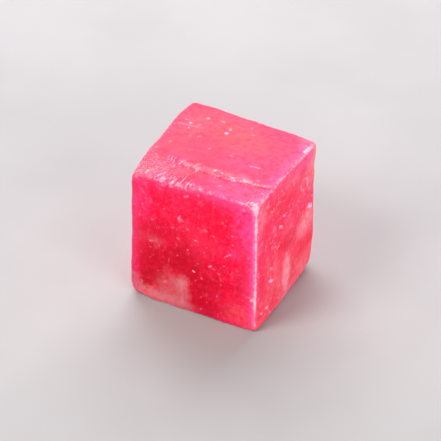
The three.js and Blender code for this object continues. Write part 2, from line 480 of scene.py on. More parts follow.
@dataclass
class FineWear:
    """The fine marks of wear: rubbed ridges on the bevel, flakes, pits and ripples, and the masks the finish
    reads, among them a painted sheen beside the edges and painted highlights.

    Every size is in millimetres, and so is each start and end of a ramp over the stone.
    """

    shape: StoneShape
    ridge_pitch: float = 0.31
    ridge_height: float = 0.009
    ridge_lean: float = 0.17
    ripple_height: float = 0.006
    ripple_pitch: float = 1.7
    corner_wear: float = 2.4
    chip_unevenness: float = 0.35
    chip_pitch: float = 0.45
    chips_on_edge: int = 13
    edge_chip_radii: tuple[float, float] = (0.12, 0.34)
    chips_on_ledge: int = 24
    ledge_chip_radii: tuple[float, float] = (0.1, 0.22)
    ledge_chip_range: tuple[float, float] = (-2.8, 9.0)
    ledge_chip_offset: tuple[float, float] = (-0.05, 0.25)
    pits: int = 110
    pit_radii: tuple[float, float] = (0.12, 0.3)
    shallow: float = 0.14
    deep: float = 0.25
    flat_base: float = 0.02
    seed: int = 11
    placed: tuple[Chip, ...] = (
        Chip((9.3, -9.1, 20.1), 0.45, 0.05),
        Chip((9.5, -9.3, 13.9), 0.3, 0.05),
        Chip((9.5, -9.3, 5.7), 0.42, 0.09),
        Chip((9.4, -4.5, 20.1), 0.4, 0.06),
        Chip((1.2, -5.3, 20.5), 0.24, 0.06),
        Chip((2.2, -5.3, 20.5), 0.2, 0.05),
        Chip((5.9, -5.1, 20.3), 0.3, 0.07),
    )

    def streaked(self, points: np.ndarray) -> np.ndarray:
        """How thickly rubbing streaks cover each place, along the two long edges of the bevel.

        Args:
            points: places in millimetres, one a row.

        Returns:
            A mask from 0 to 1.
        """
        x, y, _ = points.T
        from_front = -self.shape.above_face(points, Face.FRONT)
        reach = 0.4 + 1.7 * ramp(x, 1.2, -2.0)
        lower = ramp(from_front / reach, 1.5, 0.5) * ramp(x, -8.5, -6.0)
        lower *= 0.25 + 0.75 * ramp(x, 2.0, -0.5)
        behind = y - self.shape.top_line(x)
        middle = 0.3 - 0.9 * ramp(x, -2.6, -4.6)
        upper = np.exp(-(((behind - middle) / 0.8) ** 2)) * ramp(x, 1.0, -1.5)
        upper *= 0.95 * ramp(x, -6.2, -4.6)
        corner = nearness(points, self.shape.corner((1, -1, 1)), (1.8, 1.3, 1.0))
        return np.maximum(np.maximum(lower, upper), 0.9 * corner) * self.on_top(points)

    def grainy(self, points: np.ndarray) -> np.ndarray:
        """How thickly fine pale grain covers each place, on the bevel and its outer corner.

        Args:
            points: places in millimetres, one a row.

        Returns:
            A mask from 0 to 1.
        """
        x, y, _ = points.T
        bevel = ramp(self.shape.top_line(x) - y, 0.2, 2.4) * ramp(x, -1.0, -6.0)
        corner = nearness(points, (-8.5, -8.2, 19.5), (1.4, 2.0, 1.6))
        return np.maximum(0.38 * bevel, 0.75 * corner) * self.on_top(points)

    def on_top(self, points: np.ndarray) -> np.ndarray:
        """One on the top and bevel, fading just over their edges."""
        fade = 0.2 + 0.28 * ramp(points[:, 0], -4.2, -2.8)
        return ramp(self.shape.above_face(points, Face.TOP) / fade, -1.5, -0.5)

    def edge_sheen(self, points: np.ndarray) -> np.ndarray:
        """How much painted sheen, a magenta reflection along the rounded edges, lies beside them, on the
        front and top more than elsewhere.

        Args:
            points: places in millimetres, one a row.

        Returns:
            A mask from 0 to 1.
        """
        x, y, z = points.T
        from_right = -self.shape.above_face(points, Face.RIGHT)
        sheen_share = ramp(self.shape.edge_gap(points), 2.0, 0.1) * (0.2 + 0.8 * ramp(z, 0.0, 2.4))
        plainer = np.maximum(0.45 * ramp(x, 6.0, 8.0), 0.75 * ramp(y, 5.0, 8.0))
        plainer = np.maximum(plainer, 0.6 * ramp(x, -4.0, -7.0))
        sheen_share *= 1.0 - self.on_top(points) * plainer
        return sheen_share * (0.15 + 0.85 * ramp(from_right, 0.0, 0.4)) * self.edge_strength(points)

    def lip(self, points: np.ndarray) -> np.ndarray:
        """One on the worn lip of the ledge, fading over the top face behind it.

        Args:
            points: places in millimetres, one a row.

        Returns:
            A mask from 0 to 1, weaker where the ledge is faint.
        """
        x, y, _ = points.T
        behind = y - self.shape.ledge_line(x)
        width = 0.35 + 0.8 * ramp(x, 2.0, 3.5) * ramp(x, 7.0, 5.0)
        worn = ramp(behind, -0.12, 0.08) * np.exp(-((np.maximum(behind - 0.1, 0.0) / width) ** 2))
        worn *= ramp(self.shape.above_face(points, Face.TOP), -0.6, -0.2)
        return worn * ramp(x, -2.5, -0.5) * (0.35 + 0.55 * ramp(x, 2.4, 3.9))

    def edge_strength(self, points: np.ndarray) -> np.ndarray:
        """How white the worn edges are: strongest round the near corner, faint at the back and base; along
        the top-right edge part of the whiteness is a painted highlight.

        Args:
            points: places in millimetres, one a row.

        Returns:
            The strength at each place, up to 1.
        """
        x, y, z = points.T
        upright = ramp(x, 8.5, 9.1) * ramp(y, -8.0, -8.8) * (1.0 - 0.3 * ramp(z, 5.2, 4.2))
        top_front = ramp(x, -4.0, 5.0) * ramp(y, -8.0, -8.8) * ramp(z, 17.0, 18.5)
        # Painted highlight: the reflection along the top-right edge, laid in as extra whiteness.
        top_right = ramp(x, 8.0, 9.0) * ramp(z, 18.0, 19.0)
        most = np.maximum(np.maximum(upright, 0.3 * top_front), 0.5 * top_right)
        low = ramp(z, 1.6, 0.0) * ramp(x, 9.3, 9.0)
        left = ramp(x, -8.6, -9.2)
        return (0.38 + 0.62 * most) * (1.0 - 0.65 * low) * (1.0 - 0.35 * left)

    def ridges(self, points: np.ndarray) -> np.ndarray:
        """The rubbed ridges, which run from front to back: 0 in a groove and 1 on a crest.

        Args:
            points: places in millimetres, one a row.

        Returns:
            A share from 0 to 1 at each place.
        """
        across = points[:, 0] - self.ridge_lean * points[:, 1] + 0.1 * waves(points, 0.9, 4.0)
        crest = 0.5 + 0.5 * np.sin(2.0 * math.pi * across / self.ridge_pitch)
        return crest * smooth_step(0.7 + 0.9 * waves(points, 0.8, 6.0))

    def edge_ends(self) -> list[tuple[np.ndarray, np.ndarray]]:
        """The two ends of each of the block's twelve edges.

        Returns:
            A start and an end in millimetres for each edge.
        """
        corners = [(x, y, z) for x in (-1, 1) for y in (-1, 1) for z in (0, 1)]
        pairs = [(a, b) for i, a in enumerate(corners) for b in corners[i + 1 :]]
        joined = [(a, b) for a, b in pairs if sum(p != q for p, q in zip(a, b)) == 1]
        return [(np.array(self.shape.corner(a)), np.array(self.shape.corner(b))) for a, b in joined]

    def flakes(self) -> list[Chip]:
        """Flakes at random along the edges and the ledge, and shallow pits over the faces.

        Returns:
            The flakes that have their own places, and then the random ones.
        """
        rng = np.random.default_rng(self.seed)
        flakes = list(self.placed)
        for start, end in self.edge_ends():
            for t in rng.uniform(0.03, 0.97, self.chips_on_edge):
                radius = rng.uniform(*self.edge_chip_radii)
                flakes.append(Chip(tuple(start * (1 - t) + end * t), radius, self.shallow * radius))
        for x in rng.uniform(*self.ledge_chip_range, self.chips_on_ledge):
            y = float(self.shape.ledge_line(np.array([x]))[0]) + rng.uniform(*self.ledge_chip_offset)
            radius = rng.uniform(*self.ledge_chip_radii)
            flakes.append(Chip((x, y, self.shape.height), radius, self.deep * radius))
        half = np.array([self.shape.width / 2, self.shape.depth / 2, self.shape.height / 2])
        centre = np.array([0.0, 0.0, half[2]])
        for _ in range(self.pits):
            place = rng.uniform(-0.95, 0.95, 3)
            place[rng.integers(3)] = rng.choice((-1.0, 1.0))
            radius = rng.uniform(*self.pit_radii)
            flakes.append(Chip(tuple(place * half + centre), radius, self.shallow * radius))
        return flakes

    def chipped(self, points: np.ndarray) -> tuple[np.ndarray, np.ndarray]:
        """How deep the flakes and pits cut at each place, and how strongly each place is chipped.

        Args:
            points: places in millimetres, one a row.

        Returns:
            The depth in millimetres, and a mask from 0 to 1.
        """
        depth = np.zeros(len(points))
        share = np.zeros(len(points))
        uneven = 1.0 + self.chip_unevenness * waves(points, self.chip_pitch, 8.0)
        for chip in self.flakes():
            nearest = points[np.argmin(((points - np.array(chip.at)) ** 2).sum(axis=1))]
            gap = np.linalg.norm(points - nearest, axis=1) * uneven / chip.radius
            bowl = np.maximum(1.0 - gap * gap, 0.0)
            depth = np.maximum(depth, chip.depth * bowl)
            share = np.maximum(share, smooth_step(2.0 * bowl))
        return depth, share

    def carve(self, points: np.ndarray, normals: np.ndarray) -> tuple[np.ndarray, dict[str, np.ndarray]]:
        """Sinks the fine wear into the surface.

        Args:
            points: places on the stone in millimetres.
            normals: the surface's outward direction at each.

        Returns:
            The moved places, and named masks that the finish reads.
        """
        streaked = self.streaked(points)
        crest = self.ridges(points)
        near_corner = nearness(points, self.shape.corner((1, -1, 1)), (1.3, 1.2, 1.2))
        chip_depth, chip_share = self.chipped(points)
        sunk = streaked * self.ridge_height * (1.0 - crest) + chip_depth
        sunk += self.ripple_height * (1.0 + waves(points, self.ripple_pitch, 9.0))
        sunk[points[:, 2] < self.flat_base] = 0.0
        right, _, up = ramp(normals, 0.5, 0.8).T
        masks = {
            "edge_gap": self.shape.edge_gap(points) / (1.0 + self.corner_wear * near_corner),
            "edge_strength": self.edge_strength(points),
            # Painted sheen: the magenta reflection beside the rounded edges.
            "edge_sheen": self.edge_sheen(points),
            "grainy": self.grainy(points),
            # Frosted rubbing streaks, stronger on the ridge crests, where the extra is a painted highlight.
            "streaked": streaked * (0.45 + 0.55 * crest),
            "lip": self.lip(points),
            "chips": chip_share,
            "specked": 1.0 - 0.75 * up + 0.9 * right,
            "mottled": 1.0 - 0.82 * up + 0.8 * right,
        }
        return points - normals * sunk[:, None], masks


def in_metres(place: Point) -> Point:
    """A place or size in millimetres, in metres."""
    return place[0] * MM, place[1] * MM, place[2] * MM


class Graph:
    """A shader's node tree, with short ways to add and join its nodes."""

    def __init__(self, tree: bpy.types.NodeTree) -> None:
        """Takes the tree that the nodes go in, and empties it."""
        self.tree = tree
        tree.nodes.clear()

    def feed(self, socket: Socket, value: Value) -> None:
        """Joins a socket to another, or sets its own value.

        Args:
            socket: an input of a node.
            value: another node's output, a number, a colour or a vector.
        """
        if isinstance(value, bpy.types.NodeSocket):
            self.tree.links.new(value, socket)
        elif isinstance(value, tuple) and socket.type == "RGBA":
            socket.default_value = (*value, 1.0)
        else:
            socket.default_value = value

    def add(
        self, kind: str, inputs: dict[str | int, Value] | None = None, **settings: str | bool
    ) -> bpy.types.Node:
        """Adds a node.

        Args:
            kind: the node's type in Blender, without the word ShaderNode.
            inputs: what each named or numbered input is fed.
            settings: the node's own settings.

        Returns:
            The node.
        """
        node = self.tree.nodes.new("ShaderNode" + kind)
        for name, value in settings.items():
            setattr(node, name, value)
        for name, value in (inputs or {}).items():
            self.feed(node.inputs[name], value)
        return node

    def math(self, operation: str, *values: Value) -> Socket:
        """The result of a Math node."""
        return self.add("Math", dict(enumerate(values)), operation=operation).outputs[0]

    def times(self, *values: Value) -> Socket:
        """The product of two or more values."""
        return functools.reduce(lambda a, b: self.math("MULTIPLY", a, b), values)

    def total(self, *values: Value) -> Socket:
        """The sum of two or more values."""
        return functools.reduce(lambda a, b: self.math("ADD", a, b), values)

    def most(self, *values: Value) -> Socket:
        """The largest of two or more values."""
        return functools.reduce(lambda a, b: self.math("MAXIMUM", a, b), values)

    def vector(self, operation: str, *values: Value) -> bpy.types.Node:
        """A Vector Math node."""
        return self.add("VectorMath", dict(enumerate(values)), operation=operation)

    def scaled(self, vector: Value, scale: Value) -> Socket:
        """A vector made longer or shorter."""
        return self.add("VectorMath", {0: vector, "Scale": scale}, operation="SCALE").outputs[0]

    def stretched(self, place: Value, scale: Point, turn: Point = (0.0, 0.0, 0.0)) -> Socket:
        """Turns the places that a pattern is read at, and stretches the pattern along its axes."""
        inputs = {"Vector": place, "Scale": scale, "Rotation": turn}
        return self.add("Mapping", inputs, vector_type="TEXTURE").outputs[0]

    def between(self, value: Value, low: float, high: float, start: float = 0.0, end: float = 1.0) -> Socket:
        """Smoothly maps a value from low to high onto start to end."""
        inputs = {"Value": value, "From Min": low, "From Max": high, "To Min": start, "To Max": end}
        return self.add("MapRange", inputs, interpolation_type="SMOOTHSTEP").outputs["Result"]

    def noise(self, place: Value, scale: float, detail: float = 2.0, rough: float = 0.5) -> bpy.types.Node:
        """A Noise node whose scale is in grains a millimetre."""
        inputs = {"Vector": place, "Scale": scale / MM, "Detail": detail, "Roughness": rough}
        return self.add("TexNoise", inputs)

    def tint(self, share: Value, under: Value, over: Value) -> Socket:
        """Lays one colour over another by a share.

        Args:
            share: how much of the upper colour, from 0 to 1.
            under: the colour beneath.
            over: the colour laid on it.

        Returns:
            The mixed colour.
        """
        node = self.add("Mix", data_type="RGBA")
        self.feed(node.inputs["Factor"], share)
        for name, value in (("A", under), ("B", over)):
            socket = next(s for s in node.inputs if s.name == name and s.type == "RGBA")
            self.feed(socket, value)
        return next(s for s in node.outputs if s.type == "RGBA")

    def attribute(self, name: str) -> Socket:
        """The value of one of the mesh's masks."""
        return self.add("Attribute", attribute_name=name).outputs["Fac"]

    def group(self, tree: bpy.types.NodeTree, inputs: dict[str, Value]) -> Socket:
        """Places a node group.

        Args:
            tree: the group.
            inputs: what each of its inputs is fed.

        Returns:
            The group's first output.
        """
        node = self.tree.nodes.new("ShaderNodeGroup")
        node.node_tree = tree
        for name, value in inputs.items():
            self.feed(node.inputs[name], value)
        return node.outputs[0]


class MaskGroup(Graph):
    """A shader node group that gives one mask."""

    def __init__(self, name: str, inputs: dict[str, str]) -> None:
        """Starts the group.

        Args:
            name: the group's name.
            inputs: the socket type of each named input.
        """
        super().__init__(bpy.data.node_groups.new(name, "ShaderNodeTree"))
        for socket, kind in inputs.items():
            self.tree.interface.new_socket(socket, in_out="INPUT", socket_type=kind)
        self.tree.interface.new_socket("Mask", in_out="OUTPUT", socket_type="NodeSocketFloat")
        self.given = self.tree.nodes.new("NodeGroupInput").outputs

    def give(self, mask: Socket) -> bpy.types.NodeTree:
        """Gives out the mask.

        Args:
            mask: the value at each place.

        Returns:
            The finished group.
        """
        out = self.tree.nodes.new("NodeGroupOutput")
        self.feed(out.inputs["Mask"], mask)
        return self.tree


def cloud_group() -> bpy.types.NodeTree:
    """A soft ellipsoid inside the stone: 1 within it, fading to 0 across its skin.

    Returns:
        The group.
    """
    kinds = {name: "NodeSocketVector" for name in ("Place", "Centre", "Radii")}
    group = MaskGroup("stone cloud", kinds | {"Softness": "NodeSocketFloat"})
    off = group.vector("SUBTRACT", group.given["Place"], group.given["Centre"]).outputs[0]
    in_radii = group.vector("DIVIDE", off, group.given["Radii"]).outputs[0]
    length = group.vector("LENGTH", in_radii).outputs["Value"]
    share = group.math("DIVIDE", group.math("SUBTRACT", 1.0, length), group.given["Softness"])
    return group.give(group.between(share, -0.5, 0.5))


def mark_group() -> bpy.types.NodeTree:
    """A small mark: 1 on a dot, a short stroke or a ring, fading to 0 over its width.

    Returns:
        The group.
    """
    kinds = {name: "NodeSocketVector" for name in ("Place", "Centre", "Half Run")}
    kinds |= {name: "NodeSocketFloat" for name in ("Width", "Ring")}
    group = MaskGroup("stone mark", kinds)
    off = group.vector("SUBTRACT", group.given["Place"], group.given["Centre"]).outputs[0]
    run = group.given["Half Run"]
    squared = group.most(group.vector("DOT_PRODUCT", run, run).outputs["Value"], 1e-12)
    along = group.math("DIVIDE", group.vector("DOT_PRODUCT", off, run).outputs["Value"], squared)
    held = group.most(group.math("MINIMUM", along, 1.0), -1.0)
    gap = group.vector("DISTANCE", off, group.scaled(run, held)).outputs["Value"]
    from_ring = group.math("ABSOLUTE", group.math("SUBTRACT", gap, group.given["Ring"]))
    return group.give(group.between(group.math("DIVIDE", from_ring, group.given["Width"]), 1.3, 0.3))


def new_material(name: str) -> tuple[bpy.types.Material, Graph]:
    """Starts a material.

    Args:
        name: the material's name.

    Returns:
        The material and its empty graph.
    """
    material = bpy.data.materials.new(name)
    material.use_nodes = True
    return material, Graph(material.node_tree)


class Tint(Enum):
    """The colours in and on the stone, in linear light; some of them also paint sheen, shade and highlights
    in places.
    """

    RED = (0.93, 0.003, 0.046)
    CRIMSON = (0.9, 0.0005, 0.024)
    DEEP = (0.54, 0.0005, 0.011)
    ROSE = (0.95, 0.05, 0.13)
    WARM = (0.98, 0.07, 0.06)
    MILK = (0.6, 0.135, 0.15)
    PALE = (0.93, 0.24, 0.28)
    MAGENTA = (0.97, 0.1, 0.4)
    FROST = (1.0, 0.56, 0.62)
    LILAC = (0.97, 0.42, 0.78)
    SPECK = (1.0, 0.34, 0.48)
    CREAM = (1.0, 0.62, 0.42)


@dataclass(frozen=True)
class Cloud:
    """A patch of another colour inside the stone, or a patch of painted sheen or shade, under a place on a
    face, in millimetres.
    """

    tint: Tint
    face: Face
    at: tuple[float, float]
    radii: Point
    strength: float
    softness: float = 1.1


@dataclass(frozen=True)
class Mark:
    """A speck, a short stroke or a ring on a face, in millimetres, with half of a stroke's run."""

    tint: Tint
    face: Face
    at: tuple[float, float]
    width: float
    strength: float
    run: tuple[float, float] = (0.0, 0.0)
    ring: float = 0.0


FRONT_CLOUDS = (
    Cloud(Tint.CRIMSON, Face.FRONT, (-5.2, 7.4), (3.0, 1.5, 1.5), 0.7, 1.4),
    Cloud(Tint.DEEP, Face.FRONT, (3.8, 8.8), (1.9, 1.5, 0.9), 0.35, 1.5),
    Cloud(Tint.DEEP, Face.FRONT, (-6.6, 10.7), (2.2, 1.5, 1.0), 0.35, 1.5),
    Cloud(Tint.DEEP, Face.FRONT, (2.2, 10.6), (1.7, 1.5, 1.1), 0.25, 1.5),
    Cloud(Tint.ROSE, Face.FRONT, (3.1, 11.8), (1.4, 1.5, 1.2), 0.35, 1.5),
    Cloud(Tint.MAGENTA, Face.FRONT, (6.4, 11.9), (0.9, 1.5, 0.9), 0.25, 1.5),
    Cloud(Tint.MAGENTA, Face.FRONT, (7.9, 6.2), (1.2, 1.5, 2.6), 0.1, 1.5),
    Cloud(Tint.MAGENTA, Face.FRONT, (-6.0, 9.0), (2.6, 1.5, 3.2), 0.05, 1.5),
    Cloud(Tint.CRIMSON, Face.FRONT, (3.4, 15.6), (2.6, 1.5, 1.8), 0.2, 1.5),
    Cloud(Tint.MAGENTA, Face.FRONT, (-0.8, 17.8), (3.0, 1.5, 1.1), 0.1, 1.5),
    Cloud(Tint.ROSE, Face.FRONT, (0.5, 12.4), (1.5, 1.5, 2.4), 0.3, 1.5),
    Cloud(Tint.ROSE, Face.FRONT, (1.2, 9.2), (1.0, 1.5, 1.2), 0.26, 1.5),
    Cloud(Tint.ROSE, Face.FRONT, (3.4, 4.6), (0.9, 1.5, 0.9), 0.22, 1.5),
    Cloud(Tint.DEEP, Face.FRONT, (-0.3, 5.9), (0.9, 1.5, 1.2), 0.3, 1.5),
    Cloud(Tint.DEEP, Face.FRONT, (1.0, 3.5), (0.9, 1.5, 1.3), 0.45, 1.5),
    Cloud(Tint.DEEP, Face.FRONT, (-0.9, 9.0), (2.5, 2.5, 2.2), 0.62, 1.4),
    Cloud(Tint.DEEP, Face.FRONT, (-4.3, 8.2), (4.2, 2.5, 1.9), 0.65, 1.3),
    Cloud(Tint.DEEP, Face.FRONT, (-5.6, 5.0), (2.5, 2.5, 2.6), 0.9, 1.3),
    Cloud(Tint.DEEP, Face.FRONT, (-1.6, 6.6), (1.8, 2.5, 1.3), 0.5, 1.3),
    Cloud(Tint.DEEP, Face.FRONT, (-4.4, 12.2), (3.6, 2.5, 1.5), 0.5, 1.5),
    Cloud(Tint.DEEP, Face.FRONT, (1.6, 5.6), (2.6, 2.5, 2.4), 0.72, 1.4),
    Cloud(Tint.DEEP, Face.FRONT, (3.4, 3.6), (2.6, 2.5, 2.4), 0.3, 1.5),
    Cloud(Tint.DEEP, Face.FRONT, (5.0, 6.6), (2.3, 2.0, 0.6), 0.34),
    Cloud(Tint.DEEP, Face.FRONT, (1.9, 1.2), (2.6, 2.5, 1.8), 0.82, 1.4),
    Cloud(Tint.MILK, Face.FRONT, (-2.9, 3.3), (2.0, 3.0, 1.8), 0.68, 1.3),
    Cloud(Tint.MILK, Face.FRONT, (-1.4, 4.4), (1.1, 2.0, 1.2), 1.0, 1.5),
    Cloud(Tint.MILK, Face.FRONT, (-1.0, 2.3), (1.0, 2.0, 1.8), 1.0, 1.6),
    Cloud(Tint.MILK, Face.FRONT, (-3.2, 6.0), (0.6, 1.5, 0.8), 0.3),
    Cloud(Tint.MILK, Face.FRONT, (-5.6, 1.4), (3.0, 2.5, 1.1), 1.0),
    Cloud(Tint.MILK, Face.FRONT, (-8.1, 1.9), (1.2, 2.5, 1.8), 0.9),
    Cloud(Tint.MILK, Face.FRONT, (-2.2, 1.0), (2.6, 2.5, 1.1), 1.0),
    Cloud(Tint.PALE, Face.FRONT, (-5.0, 1.0), (3.6, 1.5, 0.8), 0.4, 1.2),
    Cloud(Tint.PALE, Face.FRONT, (-1.1, 4.4), (0.8, 1.5, 0.9), 0.4, 1.2),
    Cloud(Tint.DEEP, Face.FRONT, (-6.6, 2.9), (0.8, 1.6, 0.8), 0.9, 0.8),
    Cloud(Tint.MILK, Face.FRONT, (-5.8, 10.5), (1.8, 1.5, 0.7), 0.3),
    Cloud(Tint.MILK, Face.FRONT, (-4.9, 9.6), (0.5, 1.2, 0.9), 0.3),
    # Painted sheen: this magenta cloud and those at (7.9, 6.2), (-0.8, 17.8), (6.4, 19.2) and (-7.2, 16.2)
    # stand in for a reflection along the rounded edges.
    Cloud(Tint.MAGENTA, Face.FRONT, (8.4, 16.6), (1.8, 1.5, 3.8), 0.6, 1.6),
    Cloud(Tint.MAGENTA, Face.FRONT, (6.4, 19.2), (2.8, 1.5, 1.2), 0.3, 1.6),
    Cloud(Tint.ROSE, Face.FRONT, (8.6, 9.6), (1.2, 1.5, 5.0), 0.3, 1.6),
    Cloud(Tint.ROSE, Face.FRONT, (-8.2, 10.6), (1.1, 1.5, 3.4), 0.3, 1.6),
    Cloud(Tint.PALE, Face.FRONT, (7.4, 2.4), (2.0, 1.5, 1.5), 0.25, 1.6),
    Cloud(Tint.MAGENTA, Face.FRONT, (-7.2, 16.2), (1.3, 1.5, 3.0), 0.3, 1.6),
)
RIGHT_CLOUDS = (
    Cloud(Tint.PALE, Face.RIGHT, (-4.6, 3.6), (2.0, 4.0, 3.4), 0.34),
    Cloud(Tint.WARM, Face.RIGHT, (1.5, 5.0), (2.0, 7.0, 3.6), 0.4, 1.5),
    Cloud(Tint.PALE, Face.RIGHT, (5.9, 8.4), (2.5, 2.8, 1.7), 0.8, 1.3),
    Cloud(Tint.PALE, Face.RIGHT, (3.6, 8.4), (2.5, 1.4, 1.0), 0.45, 1.3),
    Cloud(Tint.PALE, Face.RIGHT, (-0.2, 4.3), (2.0, 1.1, 2.1), 1.0, 1.2),
    Cloud(Tint.PALE, Face.RIGHT, (-0.4, 2.2), (2.0, 0.8, 2.2), 1.0, 1.2),
    Cloud(Tint.FROST, Face.RIGHT, (-0.1, 4.6), (2.0, 1.1, 2.4), 0.35, 1.6),
    Cloud(Tint.FROST, Face.RIGHT, (6.4, 9.2), (2.5, 1.8, 1.4), 0.25, 1.4),
    Cloud(Tint.PALE, Face.RIGHT, (-3.4, 8.0), (2.0, 0.6, 2.2), 0.3, 1.4),
    Cloud(Tint.PALE, Face.RIGHT, (5.0, 2.2), (2.0, 3.4, 1.5), 0.5, 1.5),
    Cloud(Tint.PALE, Face.RIGHT, (0.4, 0.4), (2.0, 4.4, 1.2), 0.55, 1.5),
    Cloud(Tint.PALE, Face.RIGHT, (8.8, 7.2), (2.0, 1.0, 3.4), 0.2, 1.5),
    # Painted light: lifts the near bottom corner against the shade from the floor.
    Cloud(Tint.PALE, Face.RIGHT, (-8.4, 0.3), (2.0, 1.6, 0.9), 0.4, 1.5),
    Cloud(Tint.PALE, Face.RIGHT, (0.8, 10.9), (2.0, 1.8, 1.0), 0.36, 1.5),
    Cloud(Tint.PALE, Face.RIGHT, (-5.7, 8.3), (2.0, 0.8, 1.6), 0.26, 1.5),
    Cloud(Tint.ROSE, Face.RIGHT, (5.4, 14.6), (2.0, 2.9, 3.4), 0.65),
    Cloud(Tint.PALE, Face.RIGHT, (1.8, 18.4), (2.0, 2.4, 2.0), 0.26, 1.5),
    # Painted highlight and sheen: the pale and magenta clouds under the far top corner stand in for the
    # reflection on its rounding.
    Cloud(Tint.PALE, Face.RIGHT, (8.6, 17.0), (2.0, 2.5, 3.6), 0.9, 1.4),
    Cloud(Tint.MAGENTA, Face.RIGHT, (6.0, 18.8), (2.0, 3.0, 1.0), 0.6, 1.4),
    Cloud(Tint.PALE, Face.RIGHT, (-7.8, 17.6), (2.0, 0.9, 2.4), 0.6, 1.5),
    Cloud(Tint.ROSE, Face.RIGHT, (0.6, 11.6), (2.0, 2.6, 1.6), 0.6, 1.4),
    Cloud(Tint.CRIMSON, Face.RIGHT, (0.2, 8.8), (2.0, 2.2, 1.3), 0.9, 1.4),
    Cloud(Tint.DEEP, Face.RIGHT, (0.3, 9.0), (2.0, 1.8, 1.3), 0.34, 1.4),
    Cloud(Tint.CRIMSON, Face.RIGHT, (4.9, 5.0), (2.0, 1.8, 1.6), 0.7, 1.4),
    Cloud(Tint.CRIMSON, Face.RIGHT, (-7.3, 6.9), (2.0, 1.0, 2.6), 0.6, 1.4),
    Cloud(Tint.CRIMSON, Face.RIGHT, (-3.9, 2.2), (2.0, 0.9, 1.5), 0.6, 1.4),
    Cloud(Tint.CRIMSON, Face.RIGHT, (-1.0, 15.8), (2.0, 3.0, 1.0), 0.5, 1.4),
)
# The clouds on the top and the large magenta one on the right face are painted sheen: they stand in for the
# hue and strength of the reflection there. The clouds on the left, back and base are the stone's own colour.
SHEEN_AND_HIDDEN_SIDE_CLOUDS = (
    Cloud(Tint.ROSE, Face.TOP, (0.0, 0.0), (14.0, 14.0, 1.6), 0.28, 0.6),
    Cloud(Tint.MAGENTA, Face.RIGHT, (-1.0, 12.0), (1.5, 13.0, 12.0), 0.12),
    Cloud(Tint.MAGENTA, Face.TOP, (7.0, 1.0), (6.0, 9.0, 1.5), 0.18),
    Cloud(Tint.MAGENTA, Face.TOP, (0.5, 0.0), (5.0, 3.5, 1.5), 0.08),
    Cloud(Tint.MAGENTA, Face.TOP, (-4.6, -5.8), (2.6, 2.2, 1.5), 0.2),
    Cloud(Tint.PALE, Face.TOP, (-3.4, -6.6), (2.0, 1.2, 1.5), 0.25),
    Cloud(Tint.WARM, Face.TOP, (1.2, 3.2), (4.5, 3.0, 2.5), 0.5),
    Cloud(Tint.PALE, Face.TOP, (-3.5, 6.5), (5.0, 3.0, 2.0), 0.14),
    Cloud(Tint.PALE, Face.TOP, (-7.0, 3.2), (2.4, 2.6, 2.0), 0.2, 1.5),
    # Painted shade: the crimson cloud dims the top where its sheen is weaker.
    Cloud(Tint.CRIMSON, Face.TOP, (-8.2, -2.4), (1.8, 2.0, 1.5), 0.16, 1.5),
    Cloud(Tint.MAGENTA, Face.TOP, (5.5, -6.6), (5.0, 1.6, 1.5), 0.2),
    Cloud(Tint.MILK, Face.LEFT, (3.5, 4.0), (2.5, 2.6, 1.9), 0.7),
    Cloud(Tint.DEEP, Face.LEFT, (-2.0, 9.5), (2.5, 3.2, 2.6), 0.7),
    Cloud(Tint.ROSE, Face.LEFT, (4.8, 14.5), (2.0, 1.2, 3.0), 0.6),
    Cloud(Tint.DEEP, Face.BACK, (3.5, 6.5), (3.4, 2.5, 2.4), 0.7),
    Cloud(Tint.PALE, Face.BACK, (-3.8, 11.5), (0.9, 2.0, 3.4), 0.45),
    Cloud(Tint.MILK, Face.BACK, (6.4, 2.0), (2.6, 2.5, 1.7), 0.7),
    Cloud(Tint.MILK, Face.BASE, (-3.0, -4.0), (3.6, 2.4, 2.0), 0.7),
    Cloud(Tint.DEEP, Face.BASE, (3.5, 3.0), (3.0, 3.6, 2.0), 0.6),
)
